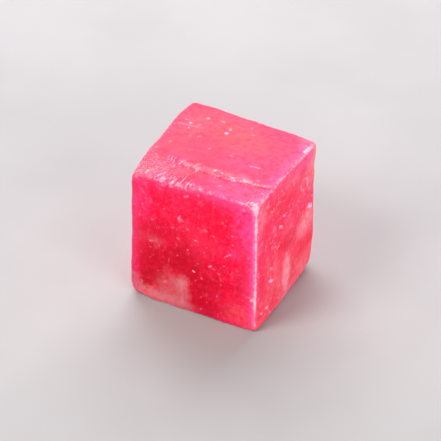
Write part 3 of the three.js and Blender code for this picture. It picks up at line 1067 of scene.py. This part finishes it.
FRONT_MARKS = (
    Mark(Tint.FROST, Face.FRONT, (-3.8, 15.7), 0.17, 0.7),
    Mark(Tint.LILAC, Face.FRONT, (-1.5, 15.1), 0.17, 0.5, (0.12, 0.3)),
    Mark(Tint.LILAC, Face.FRONT, (-1.3, 14.5), 0.15, 0.6),
    Mark(Tint.FROST, Face.FRONT, (-2.5, 13.2), 0.2, 0.35),
    Mark(Tint.FROST, Face.FRONT, (-5.0, 12.2), 0.09, 0.45, (0.15, 0.34)),
    Mark(Tint.CREAM, Face.FRONT, (-4.6, 12.4), 0.08, 0.4, (0.12, 0.32)),
    Mark(Tint.FROST, Face.FRONT, (-0.2, 13.6), 0.26, 0.25),
    Mark(Tint.CREAM, Face.FRONT, (0.9, 12.2), 0.19, 0.85),
    Mark(Tint.FROST, Face.FRONT, (-0.3, 10.3), 0.14, 0.65),
    Mark(Tint.SPECK, Face.FRONT, (-0.1, 9.8), 0.14, 0.5),
    Mark(Tint.CREAM, Face.FRONT, (-5.7, 7.4), 0.11, 0.7, (0.35, 0.4)),
    Mark(Tint.SPECK, Face.FRONT, (-1.8, 8.9), 0.2, 0.45),
    Mark(Tint.FROST, Face.FRONT, (-3.1, 7.7), 0.16, 0.16, (0.05, 0.3)),
    Mark(Tint.FROST, Face.FRONT, (0.6, 7.1), 0.17, 0.9, (0.1, -0.04)),
    Mark(Tint.FROST, Face.FRONT, (3.0, 8.8), 0.16, 0.8, (0.16, 0.06)),
    Mark(Tint.SPECK, Face.FRONT, (3.6, 8.6), 0.16, 0.75, (0.1, -0.05)),
    Mark(Tint.LILAC, Face.FRONT, (5.0, 9.5), 0.11, 0.7, (0.22, 0.16)),
    Mark(Tint.FROST, Face.FRONT, (4.8, 16.4), 0.18, 0.45),
    Mark(Tint.SPECK, Face.FRONT, (6.2, 14.7), 0.2, 0.7),
    Mark(Tint.FROST, Face.FRONT, (6.3, 13.3), 0.15, 0.6),
    Mark(Tint.FROST, Face.FRONT, (5.5, 11.3), 0.11, 0.8, (0.34, 0.28)),
    Mark(Tint.LILAC, Face.FRONT, (6.3, 11.8), 0.11, 0.65, (0.5, 0.31)),
    Mark(Tint.LILAC, Face.FRONT, (8.6, 12.0), 0.17, 0.6),
    Mark(Tint.LILAC, Face.FRONT, (8.5, 9.8), 0.16, 0.55),
    Mark(Tint.SPECK, Face.FRONT, (4.7, 6.3), 0.2, 0.4),
    Mark(Tint.SPECK, Face.FRONT, (1.8, 6.4), 0.2, 0.4),
    Mark(Tint.SPECK, Face.FRONT, (0.9, 5.7), 0.2, 0.35),
    Mark(Tint.SPECK, Face.FRONT, (4.1, 4.2), 0.12, 0.55, (0.05, 0.25)),
    Mark(Tint.LILAC, Face.FRONT, (-7.0, 15.4), 0.16, 0.5),
    Mark(Tint.LILAC, Face.FRONT, (-7.4, 13.9), 0.14, 0.4, (0.08, 0.35)),
    Mark(Tint.LILAC, Face.FRONT, (-5.6, 13.4), 0.15, 0.5),
    Mark(Tint.FROST, Face.FRONT, (-5.6, 10.0), 0.2, 0.35, (0.3, 0.1)),
    Mark(Tint.FROST, Face.FRONT, (-4.8, 10.0), 0.13, 0.45, (0.29, -0.56)),
    Mark(Tint.FROST, Face.FRONT, (-5.9, 8.9), 0.16, 0.35),
    Mark(Tint.CREAM, Face.FRONT, (-7.0, 17.5), 0.12, 0.5, (0.3, -0.25)),
    Mark(Tint.PALE, Face.FRONT, (7.5, 5.9), 0.1, 0.42, (1.3, -0.02)),
    # Painted highlight: a glint on the worn front upright edge.
    Mark(Tint.FROST, Face.FRONT, (9.1, 5.3), 0.22, 0.8, (0.1, 0.12)),
    Mark(Tint.FROST, Face.FRONT, (7.7, 19.1), 0.1, 0.5, (0.28, 0.19)),
    Mark(Tint.PALE, Face.FRONT, (8.9, 5.7), 0.2, 0.6, (0.6, 0.2)),
    Mark(Tint.PALE, Face.FRONT, (-1.2, 2.8), 0.35, 0.35, (-0.06, 1.5)),
    Mark(Tint.FROST, Face.FRONT, (-0.5, 18.7), 0.2, 0.6, (0.2, 0.1)),
)
RIGHT_MARKS = (
    Mark(Tint.PALE, Face.RIGHT, (5.2, 15.1), 0.2, 0.7, (0.4, -0.25), 0.8),
    # Painted highlight: the lilac glint on the upper side of the ring pit.
    Mark(Tint.LILAC, Face.RIGHT, (6.1, 15.0), 0.24, 0.6, (0.15, -0.6)),
    # Painted highlight: a wide pale stroke along the rounded far top corner.
    Mark(Tint.PALE, Face.RIGHT, (8.2, 17.4), 0.6, 1.0, (0.0, 1.9)),
    Mark(Tint.LILAC, Face.RIGHT, (7.2, 10.4), 0.42, 1.0, (0.42, -0.27)),
    Mark(Tint.FROST, Face.RIGHT, (7.2, 10.4), 0.28, 0.8, (0.28, -0.18)),
    Mark(Tint.LILAC, Face.RIGHT, (-1.0, 13.9), 0.22, 0.5, (0.25, -0.16)),
    Mark(Tint.FROST, Face.RIGHT, (-2.0, 12.7), 0.22, 0.7, (0.35, -0.22)),
    Mark(Tint.FROST, Face.RIGHT, (-3.8, 13.8), 0.2, 0.45),
    Mark(Tint.FROST, Face.RIGHT, (-2.8, 15.5), 0.2, 0.5),
    Mark(Tint.FROST, Face.RIGHT, (-4.5, 16.6), 0.18, 0.45),
    Mark(Tint.FROST, Face.RIGHT, (-2.7, 9.9), 0.2, 0.4, (0.2, 0.1)),
    Mark(Tint.FROST, Face.RIGHT, (-4.7, 7.7), 0.22, 0.6, (0.25, -0.16)),
    Mark(Tint.LILAC, Face.RIGHT, (-7.2, 8.3), 0.22, 0.6),
    Mark(Tint.LILAC, Face.RIGHT, (-4.9, 5.8), 0.3, 0.95, (0.32, -0.2)),
    Mark(Tint.FROST, Face.RIGHT, (-6.2, 2.3), 0.22, 0.65, (0.25, -0.16)),
    Mark(Tint.FROST, Face.RIGHT, (-7.7, 2.3), 0.2, 0.5, (0.2, -0.13)),
    Mark(Tint.PALE, Face.RIGHT, (-7.0, 1.1), 0.3, 0.3, (0.3, 0.2)),
)
TOP_MARKS = (
    Mark(Tint.FROST, Face.TOP, (-6.9, 3.9), 0.24, 0.65),
    Mark(Tint.LILAC, Face.TOP, (-6.6, 2.8), 0.2, 0.6),
    Mark(Tint.FROST, Face.TOP, (-5.4, 6.1), 0.32, 0.4),
    Mark(Tint.CREAM, Face.TOP, (-1.6, 5.2), 0.26, 0.6),
    Mark(Tint.LILAC, Face.TOP, (-1.6, 4.1), 0.3, 0.95),
    Mark(Tint.FROST, Face.TOP, (-5.5, 1.2), 0.25, 0.25),
    Mark(Tint.FROST, Face.TOP, (-1.8, -0.4), 0.26, 0.25),
    Mark(Tint.FROST, Face.TOP, (-6.7, 3.4), 0.2, 0.14, (1.75, 0.14)),
    Mark(Tint.FROST, Face.TOP, (5.3, -1.2), 0.15, 0.5, (0.6, 0.1)),
    Mark(Tint.PALE, Face.TOP, (0.6, -4.8), 0.5, 0.3, (2.7, 0.37)),
    Mark(Tint.FROST, Face.TOP, (1.2, -4.6), 0.26, 0.95),
    Mark(Tint.FROST, Face.TOP, (2.2, -4.6), 0.2, 0.7),
    Mark(Tint.FROST, Face.TOP, (4.0, -4.9), 0.2, 0.7),
    Mark(Tint.FROST, Face.TOP, (5.9, -4.8), 0.24, 0.8, (0.2, 0.1)),
    Mark(Tint.FROST, Face.TOP, (-4.2, -8.9), 0.34, 0.9, (0.05, 0.2)),
    Mark(Tint.FROST, Face.TOP, (-2.8, -9.0), 0.2, 0.8, (0.08, 0.25)),
    Mark(Tint.FROST, Face.TOP, (-0.6, -8.7), 0.13, 0.9, (0.14, 0.45)),
    Mark(Tint.FROST, Face.TOP, (1.4, -9.0), 0.24, 0.7),
    # Painted highlight: the pale glint on the rounded far top-right corner.
    Mark(Tint.FROST, Face.TOP, (9.35, 6.5), 0.3, 0.8, (0.14, 0.9)),
    Mark(Tint.FROST, Face.TOP, (8.1, -8.95), 0.12, 0.8, (0.03, 0.3)),
    Mark(Tint.FROST, Face.TOP, (8.5, -8.8), 0.13, 0.9, (0.03, 0.34)),
    Mark(Tint.FROST, Face.TOP, (8.85, -8.9), 0.12, 0.9, (0.03, 0.3)),
    Mark(Tint.FROST, Face.TOP, (9.15, -8.7), 0.14, 0.9, (0.04, 0.4)),
)

# How much is left of a patch of each tint where it is thinnest.
THINNEST_CLOUD = {
    Tint.DEEP: 0.6,
    Tint.CRIMSON: 0.6,
    Tint.ROSE: 0.5,
    Tint.WARM: 0.5,
    Tint.MILK: 0.35,
    Tint.PALE: 0.4,
    Tint.FROST: 0.4,
    Tint.MAGENTA: 0.25,
}


@dataclass(frozen=True)
class RubyFinish:
    """The ruby: clouds of colour, fine grain, specks, frosted edges, scratches and a satin polish, with
    painted sheen and highlights in its colour.
    """

    roughness: float = 0.38
    worn_roughness: float = 0.6
    specular_level: float = 0.1
    specular_tint: Colour = (1.0, 0.8, 1.0)
    scatter_share: float = 0.3
    scatter_radius: Point = (1.0, 0.16, 0.2)
    scatter_scale: float = 1.6
    streak_turn: float = -0.17
    relief_strength: float = 0.5
    relief_height: float = 0.014
    dot_layers: tuple[Point, ...] = ((1.1, 0.26, 0.36), (2.3, 0.42, 0.38))
    thinnest: dict[Tint, float] = field(default_factory=lambda: THINNEST_CLOUD)
    clouds: tuple[Cloud, ...] = FRONT_CLOUDS + RIGHT_CLOUDS + SHEEN_AND_HIDDEN_SIDE_CLOUDS
    marks: tuple[Mark, ...] = FRONT_MARKS + RIGHT_MARKS + TOP_MARKS

    @staticmethod
    def ragged(graph: Graph, place: Socket, scale: float, reach: float) -> Socket:
        """Shifts each place by a noise, so that what is laid there has a ragged outline.

        Args:
            graph: the material's graph.
            place: where on the stone.
            scale: the noise's grains in a millimetre.
            reach: how far it shifts a place at most along each axis, in millimetres.

        Returns:
            The shifted place.
        """
        drift = graph.noise(place, scale, 3.0, 0.6).outputs["Color"]
        shift = graph.vector("SUBTRACT", drift, (0.5, 0.5, 0.5)).outputs[0]
        return graph.vector("ADD", place, graph.scaled(shift, 2.0 * reach * MM)).outputs[0]

    def body(self, graph: Graph, place: Socket) -> Socket:
        """The red body of the stone, with its drift, mottling, fine grain and pale threads.

        Args:
            graph: the material's graph.
            place: where on the stone.

        Returns:
            The body's colour.
        """
        curled = self.ragged(graph, graph.stretched(place, (1.0, 1.5, 1.25)), 0.9, 0.45)
        drift = graph.noise(curled, 0.24, 3.0, 0.6).outputs["Fac"]
        mottle = graph.noise(curled, 0.8, 3.0, 0.55).outputs["Fac"]
        colour = graph.tint(graph.between(drift, 0.52, 0.68, 0.0, 0.35), Tint.RED.value, Tint.DEEP.value)
        swirl = graph.noise(curled, 1.9, 2.0, 0.5).outputs["Fac"]
        grain = graph.noise(place, 3.6, 3.0, 0.7).outputs["Fac"]
        milky = graph.total(
            graph.between(mottle, 0.5, 0.33, 0.0, 0.3),
            graph.between(swirl, 0.51, 0.72, 0.0, 0.48),
            graph.between(grain, 0.52, 0.72, 0.0, 0.26),
        )
        colour = self.mottled(graph, mottle, milky, colour)
        thread = graph.noise(self.ragged(graph, place, 1.1, 0.5), 0.5, 2.0).outputs["Fac"]
        line = graph.between(graph.math("ABSOLUTE", graph.math("SUBTRACT", thread, 0.5)), 0.03, 0.0)
        gate = graph.between(mottle, 0.55, 0.4, 0.0, 0.3)
        colour = graph.tint(graph.times(line, gate), colour, Tint.ROSE.value)
        return self.flecked(graph, place, colour)

    @staticmethod
    def mottled(graph: Graph, mottle: Socket, milky: Socket, colour: Socket) -> Socket:
        """Lays the crimson and the milky mottling over a colour, where the stone has them.

        Args:
            graph: the material's graph.
            mottle: the coarse noise that the crimson follows.
            milky: how milky each place is.
            colour: what they lie on.

        Returns:
            The mottled colour.
        """
        where = graph.attribute("mottled")
        darker = graph.times(graph.between(mottle, 0.52, 0.66, 0.0, 0.6), where)
        milky = graph.times(milky, where)
        bright = graph.times(graph.between(milky, 0.45, 0.9, 0.0, 0.3), where)
        colour = graph.tint(darker, colour, Tint.CRIMSON.value)
        colour = graph.tint(milky, colour, Tint.ROSE.value)
        return graph.tint(bright, colour, Tint.PALE.value)

    @staticmethod
    def flecked(graph: Graph, place: Socket, colour: Socket) -> Socket:
        """Lays small magenta and warm flecks over a colour.

        Args:
            graph: the material's graph.
            place: where on the stone.
            colour: what the flecks lie on.

        Returns:
            The flecked colour.
        """
        where = graph.attribute("mottled")
        fleck = graph.add("SeparateColor", {0: graph.noise(place, 3.0, 2.0, 0.6).outputs["Color"]}).outputs
        pink = graph.times(graph.between(fleck[0], 0.56, 0.72, 0.0, 0.24), where)
        warm = graph.times(graph.between(fleck[1], 0.58, 0.74, 0.0, 0.16), where)
        colour = graph.tint(pink, colour, Tint.MAGENTA.value)
        return graph.tint(warm, colour, Tint.WARM.value)

    def clouded(self, graph: Graph, place: Socket, colour: Socket, shape: StoneShape) -> Socket:
        """Lays the dark, milky and pale patches over the body, and the patches of painted sheen and shade,
        thin in some places and thick in others.

        Args:
            graph: the material's graph.
            place: where on the stone.
            colour: what the patches lie on.
            shape: the stone, on whose faces they are placed.

        Returns:
            The clouded colour.
        """
        group = cloud_group()
        ragged = self.ragged(graph, self.ragged(graph, place, 0.5, 0.8), 1.8, 0.45)
        thickness = graph.noise(self.ragged(graph, place, 1.2, 0.5), 1.3, 3.0, 0.6).outputs["Fac"]
        thick = {tint: graph.between(thickness, 0.36, 0.6, low, 1.0) for tint, low in self.thinnest.items()}
        for cloud in self.clouds:
            inputs: dict[str, Value] = {"Place": ragged, "Softness": cloud.softness}
            inputs["Centre"] = in_metres(shape.on_face(cloud.face, cloud.at))
            inputs["Radii"] = in_metres(cloud.radii)
            share = graph.times(graph.group(group, inputs), cloud.strength, thick[cloud.tint])
            colour = graph.tint(share, colour, cloud.tint.value)
        return colour

    def dots(
        self, graph: Graph, place: Socket, colour: Socket, scale: float, size: float, most: float
    ) -> Socket:
        """Scatters small frosted dots over a colour, thicker in some places than in others.

        Args:
            graph: the material's graph.
            place: where on the stone.
            colour: what the dots lie on.
            scale: how many dots there could be in a millimetre.
            size: the largest dot's radius, as a share of the space it has.
            most: how strong the strongest dot is.

        Returns:
            The dotted colour.
        """
        longer = graph.stretched(place, (1.0, 1.5, 1.0))
        scattered = self.ragged(graph, longer, 2.5, 0.12)
        cells = graph.add("TexVoronoi", {"Vector": scattered, "Scale": scale / MM})
        picked = graph.add("SeparateColor", {0: cells.outputs["Color"]}).outputs
        radius = graph.between(picked[0], 0.55, 1.0, 0.01, size)
        dot = graph.between(graph.math("DIVIDE", cells.outputs["Distance"], radius), 1.25, 0.05)
        crowd = graph.between(graph.noise(place, 0.3, 2.0).outputs["Fac"], 0.4, 0.65, 0.15 * most, most)
        own = graph.between(picked[2], 0.0, 1.0, 0.4, 1.0)
        share = graph.times(dot, crowd, graph.attribute("specked"), own)
        shade = graph.tint(graph.between(picked[1], 0.6, 0.9), Tint.SPECK.value, Tint.LILAC.value)
        return graph.tint(share, colour, shade)

    def wear(self, graph: Graph, place: Socket) -> Socket:
        """How frosted each place is: the edges, the rubbing streaks, the ledge's lip and the chips, with a
        painted highlight on the streaks' crests and along the top-right edge.

        Args:
            graph: the material's graph.
            place: where on the stone.

        Returns:
            A mask from 0 to 1.
        """
        broken = graph.noise(place, 1.3, 3.0, 0.65).outputs["Fac"]
        teeth = graph.noise(place, 4.5, 2.0, 0.6).outputs["Fac"]
        turned = graph.stretched(place, (1.0, 3.2, 2.3), (0.0, 0.0, self.streak_turn))
        streak = graph.between(graph.noise(turned, 3.5, 3.0, 0.6).outputs["Fac"], 0.52, 0.6)
        rubbed = graph.times(streak, graph.between(broken, 0.36, 0.56, 0.3, 1.0), graph.attribute("streaked"))
        grains = graph.times(graph.between(teeth, 0.45, 0.62, 0.12, 0.75), graph.attribute("grainy"))
        toothed = graph.between(teeth, 0.4, 0.62, 0.15, 0.9)
        lip = graph.times(graph.attribute("lip"), toothed, graph.between(broken, 0.4, 0.6, 0.4, 1.0))
        chips = graph.times(graph.attribute("chips"), 0.2)
        return graph.most(self.worn_edges(graph, broken, teeth), rubbed, grains, lip, chips)

    @staticmethod
    def worn_edges(graph: Graph, broken: Socket, teeth: Socket) -> Socket:
        """How frosted each place is along the edges: a broken line with a faint halo, partly a painted
        highlight along the top-right edge.

        Args:
            graph: the material's graph.
            broken: the coarse noise that breaks the line.
            teeth: the fine noise that roughens its sides.

        Returns:
            A mask from 0 to 1.
        """
        gap, strength = graph.attribute("edge_gap"), graph.attribute("edge_strength")
        spread = graph.between(teeth, 0.3, 0.7, -0.05, 0.08)
        width = graph.total(graph.between(broken, 0.3, 0.7, 0.22, 0.37), spread)
        line = graph.between(graph.math("DIVIDE", gap, width), 1.2, 0.4)
        whole = graph.between(strength, 0.4, 1.0, 0.1, 0.82)
        edge = graph.times(line, graph.most(graph.between(broken, 0.4, 0.6), whole), strength)
        halo = graph.times(graph.between(gap, 0.75, 0.15, 0.0, 0.3), graph.between(teeth, 0.35, 0.65))
        return graph.most(edge, graph.times(halo, strength))

    def marked(self, graph: Graph, place: Socket, colour: Socket, shape: StoneShape) -> Socket:
        """Lays the larger specks, strokes and rings over a colour, some of them painted highlights.

        Args:
            graph: the material's graph.
            place: where on the stone.
            colour: what the marks lie on.
            shape: the stone, on whose faces they are placed.

        Returns:
            The marked colour.
        """
        group = mark_group()
        ragged = self.ragged(graph, place, 2.6, 0.16)
        broken = graph.between(graph.noise(place, 2.1, 2.0).outputs["Fac"], 0.36, 0.56, 0.35, 1.0)
        for mark in self.marks:
            inputs: dict[str, Value] = {"Place": ragged, "Width": mark.width * MM, "Ring": mark.ring * MM}
            inputs["Centre"] = in_metres(shape.on_face(mark.face, mark.at))
            inputs["Half Run"] = in_metres(tuple(shape.along_face(mark.face, mark.run)))
            share = graph.times(graph.group(group, inputs), broken, mark.strength)
            colour = graph.tint(share, colour, mark.tint.value)
        return colour

    def material(self, shape: StoneShape) -> bpy.types.Material:
        """Makes the ruby.

        Args:
            shape: the stone, on whose faces the clouds and marks are placed.

        Returns:
            The material.
        """
        material, graph = new_material("ruby")
        place = graph.add("TexCoord").outputs["Object"]
        colour = self.clouded(graph, place, self.body(graph, place), shape)
        for layer in self.dot_layers:
            colour = self.dots(graph, place, colour, *layer)
        # Painted sheen: a magenta reflection beside the rounded edges, laid into the colour.
        uneven = graph.noise(place, 1.6, 3.0, 0.7).outputs["Fac"]
        painted_sheen = graph.times(graph.attribute("edge_sheen"), graph.between(uneven, 0.35, 0.62, 0.35, 1.0))
        colour = graph.tint(painted_sheen, colour, Tint.MAGENTA.value)
        worn = self.wear(graph, place)
        colour = graph.tint(worn, colour, Tint.FROST.value)
        satin = graph.noise(place, 0.9, 3.0).outputs["Fac"]
        polish = graph.between(satin, 0.3, 0.7, self.roughness - 0.06, self.roughness + 0.08)
        inputs: dict[str | int, Value] = {
            "Base Color": self.marked(graph, place, colour, shape),
            "Roughness": graph.most(polish, graph.times(worn, self.worn_roughness)),
            "Specular IOR Level": self.specular_level,
            "Specular Tint": self.specular_tint,
            "Subsurface Weight": self.scatter_share,
            "Subsurface Radius": self.scatter_radius,
            "Subsurface Scale": self.scatter_scale * MM,
            "Normal": self.relief(graph, place, worn),
        }
        shader = graph.add("BsdfPrincipled", inputs)
        graph.add("OutputMaterial", {"Surface": shader.outputs["BSDF"]})
        return material

    def relief(self, graph: Graph, place: Socket, worn: Socket) -> Socket:
        """The finest relief: grain, faint scratches and the roughness of the frosted places.

        Args:
            graph: the material's graph.
            place: where on the stone.
            worn: how frosted each place is.

        Returns:
            The normal.
        """
        grain = graph.noise(place, 3.5, 4.0, 0.65).outputs["Fac"]
        drawn = graph.stretched(place, (9.0, 0.8, 3.0), (0.3, 0.2, 0.6))
        scratch = graph.between(graph.noise(drawn, 2.0, 2.0).outputs["Fac"], 0.6, 0.72)
        height = graph.total(grain, graph.times(scratch, -0.5), graph.times(worn, 0.5))
        distance = self.relief_height * MM
        bump = graph.add("Bump", {"Strength": self.relief_strength, "Distance": distance, "Height": height})
        return bump.outputs["Normal"]


@dataclass(frozen=True)
class FloorFinish:
    """A plain pale floor."""

    colour: Colour = (0.42, 0.41, 0.4)
    lighter: float = 1.06
    roughness: float = 0.75
    specular_level: float = 0.2

    def material(self) -> bpy.types.Material:
        """Makes the floor's finish, with a faint unevenness.

        Returns:
            The material.
        """
        material, graph = new_material("pale_floor")
        mottle = graph.noise(graph.add("TexCoord").outputs["Object"], 0.04, 3.0).outputs["Fac"]
        lighter = tuple(value * self.lighter for value in self.colour)
        inputs: dict[str | int, Value] = {
            "Base Color": graph.tint(graph.between(mottle, 0.35, 0.65), self.colour, lighter),
            "Roughness": self.roughness,
            "Specular IOR Level": self.specular_level,
        }
        shader = graph.add("BsdfPrincipled", inputs)
        graph.add("OutputMaterial", {"Surface": shader.outputs["BSDF"]})
        return material


@dataclass
class RubyCube:
    """The stone: its skin of fine quads, the wear cut into it and its finish."""

    shape: StoneShape = field(default_factory=StoneShape)
    finish: RubyFinish = field(default_factory=RubyFinish)

    def build(self) -> bpy.types.Object:
        """Makes the stone in the place of its solid.

        Returns:
            The finished stone.
        """
        grid = StoneGrid(self.shape)
        laid = grid.lay()
        mesh = bpy.data.meshes.new("ruby_stone")
        laid.to_mesh(mesh)
        laid.free()
        block = self.places(mesh)
        surface = grid.to_surface(block)
        self.place(mesh, surface)
        normals = np.zeros(len(surface) * 3)
        mesh.vertices.foreach_get("normal", normals)
        carved, masks = FineWear(self.shape).carve(surface, normals.reshape(-1, 3))
        self.place(mesh, (carved + self.shift(surface)) * MM)
        for name, values in masks.items():
            mesh.attributes.new(name, "FLOAT", "POINT").data.foreach_set("value", values.astype(np.float32))
        mesh.polygons.foreach_set("use_smooth", [True] * len(mesh.polygons))
        mesh.materials.append(self.finish.material(self.shape))
        stone = bpy.data.objects.new("ruby_stone", mesh)
        bpy.context.scene.collection.objects.link(stone)
        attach(stone, "root")
        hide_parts(NODE)
        LOG.info("%s: %d vertices, %d faces", stone.name, len(mesh.vertices), len(mesh.polygons))
        return stone

    def shift(self, surface: np.ndarray) -> np.ndarray:
        """How far the shape moves so that its middle stands over the solid's middle.

        Args:
            surface: the places on the surface, in millimetres.

        Returns:
            The move in millimetres, level.
        """
        low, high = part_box(NODE)
        wanted = (np.array(low) + np.array(high)) / 2.0 / MM
        middle = (surface.min(axis=0) + surface.max(axis=0)) / 2.0
        return np.array([wanted[0] - middle[0], wanted[1] - middle[1], 0.0])

    @staticmethod
    def places(mesh: bpy.types.Mesh) -> np.ndarray:
        """The places of a mesh's vertices, one a row.

        Args:
            mesh: the mesh that is read.

        Returns:
            The places, in the units of the mesh.
        """
        flat = np.zeros(len(mesh.vertices) * 3)
        mesh.vertices.foreach_get("co", flat)
        return flat.reshape(-1, 3)

    @staticmethod
    def place(mesh: bpy.types.Mesh, points: np.ndarray) -> None:
        """Moves a mesh's vertices."""
        mesh.vertices.foreach_set("co", points.ravel())
        mesh.update()


@dataclass(frozen=True)
class SoftLight:
    """A square soft light: where it stands from the stone, its side and its power."""

    name: str
    direction: Point
    distance: float
    side: float
    power: float
    colour: Colour = (1.0, 1.0, 1.0)


@dataclass
class Studio:
    """The pale floor, the soft lights and the camera."""

    target: Point = (0.034, -0.106, 10.0)
    azimuth: float = 27.0
    elevation: float = 35.6
    roll: float = 0.65
    camera_distance: float = 250.0
    aim_offset: tuple[float, float] = (-0.228, -0.568)
    focal_pixels: float = 1862.5
    image_pixels: int = 441
    sensor_width: float = 36.0
    clip_range: tuple[float, float] = (0.01, 10.0)
    floor_size: float = 3.0
    floor_gap: float = 0.02
    sky: Colour = (0.24, 0.245, 0.26)
    lights: tuple[SoftLight, ...] = (
        SoftLight("back_softbox", (-0.38, 0.69, 0.63), 0.35, 0.4, 2.35, (0.98, 0.94, 1.0)),
        SoftLight("key", (-0.37, -0.62, 0.69), 0.4, 0.16, 0.91),
        SoftLight("side_fill", (0.85, -0.45, 0.28), 0.4, 0.22, 1.2),
    )

    def build(self) -> None:
        """Makes the whole studio."""
        self.camera()
        self.floor()
        self.light()
        scene = bpy.context.scene
        scene.view_settings.view_transform = "Standard"
        scene.view_settings.look = "None"

    def camera(self) -> None:
        """Stands the camera at the photograph's angle."""
        azimuth, elevation = math.radians(self.azimuth), math.radians(self.elevation)
        level = math.cos(elevation)
        back = Vector((math.sin(azimuth) * level, -math.cos(azimuth) * level, math.sin(elevation)))
        right = Vector((math.cos(azimuth), math.sin(azimuth), 0.0))
        up = back.cross(right)
        aim = Vector(self.target) + right * self.aim_offset[0] + up * self.aim_offset[1]
        roll = Matrix.Rotation(math.radians(self.roll), 4, "Z")
        turn = Matrix((right, up, back)).transposed().to_4x4() @ roll
        data = bpy.data.cameras.new("camera")
        data.sensor_width = self.sensor_width
        data.lens = self.sensor_width * self.focal_pixels / self.image_pixels
        data.clip_start, data.clip_end = self.clip_range
        camera = bpy.data.objects.new("camera", data)
        camera.matrix_world = Matrix.Translation((aim + back * self.camera_distance) * MM) @ turn
        bpy.context.scene.collection.objects.link(camera)
        bpy.context.scene.camera = camera

    def floor(self) -> None:
        """Lays the floor just under the stone."""
        laid = bmesh.new()
        bmesh.ops.create_grid(laid, x_segments=8, y_segments=8, size=self.floor_size / 2)
        bmesh.ops.translate(laid, verts=laid.verts[:], vec=(0.0, 0.0, -self.floor_gap * MM))
        mesh = bpy.data.meshes.new("pale_floor")
        laid.to_mesh(mesh)
        laid.free()
        mesh.materials.append(FloorFinish().material())
        floor = bpy.data.objects.new("pale_floor", mesh)
        bpy.context.scene.collection.objects.link(floor)

    def light(self) -> None:
        """Hangs the soft lights and sets the plain sky."""
        target = Vector(self.target) * MM
        for soft in self.lights:
            data = bpy.data.lights.new(soft.name, "AREA")
            data.shape = "SQUARE"
            data.size = soft.side
            data.energy = soft.power
            data.color = soft.colour
            lamp = bpy.data.objects.new(soft.name, data)
            away = Vector(soft.direction).normalized()
            lamp.location = target + away * soft.distance
            lamp.rotation_euler = away.to_track_quat("Z", "Y").to_euler()
            bpy.context.scene.collection.objects.link(lamp)
        world = bpy.data.worlds.new("plain_sky")
        world.use_nodes = True
        background = world.node_tree.nodes["Background"]
        background.inputs["Color"].default_value = (*self.sky, 1.0)
        background.inputs["Strength"].default_value = 1.0
        bpy.context.scene.world = world


def main() -> None:
    """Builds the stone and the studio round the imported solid."""
    logging.basicConfig(level=logging.INFO, format="%(name)s: %(message)s")
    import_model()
    Studio().build()
    RubyCube().build()
    bpy.context.view_layer.update()


if __name__ == "__main__":
    main()
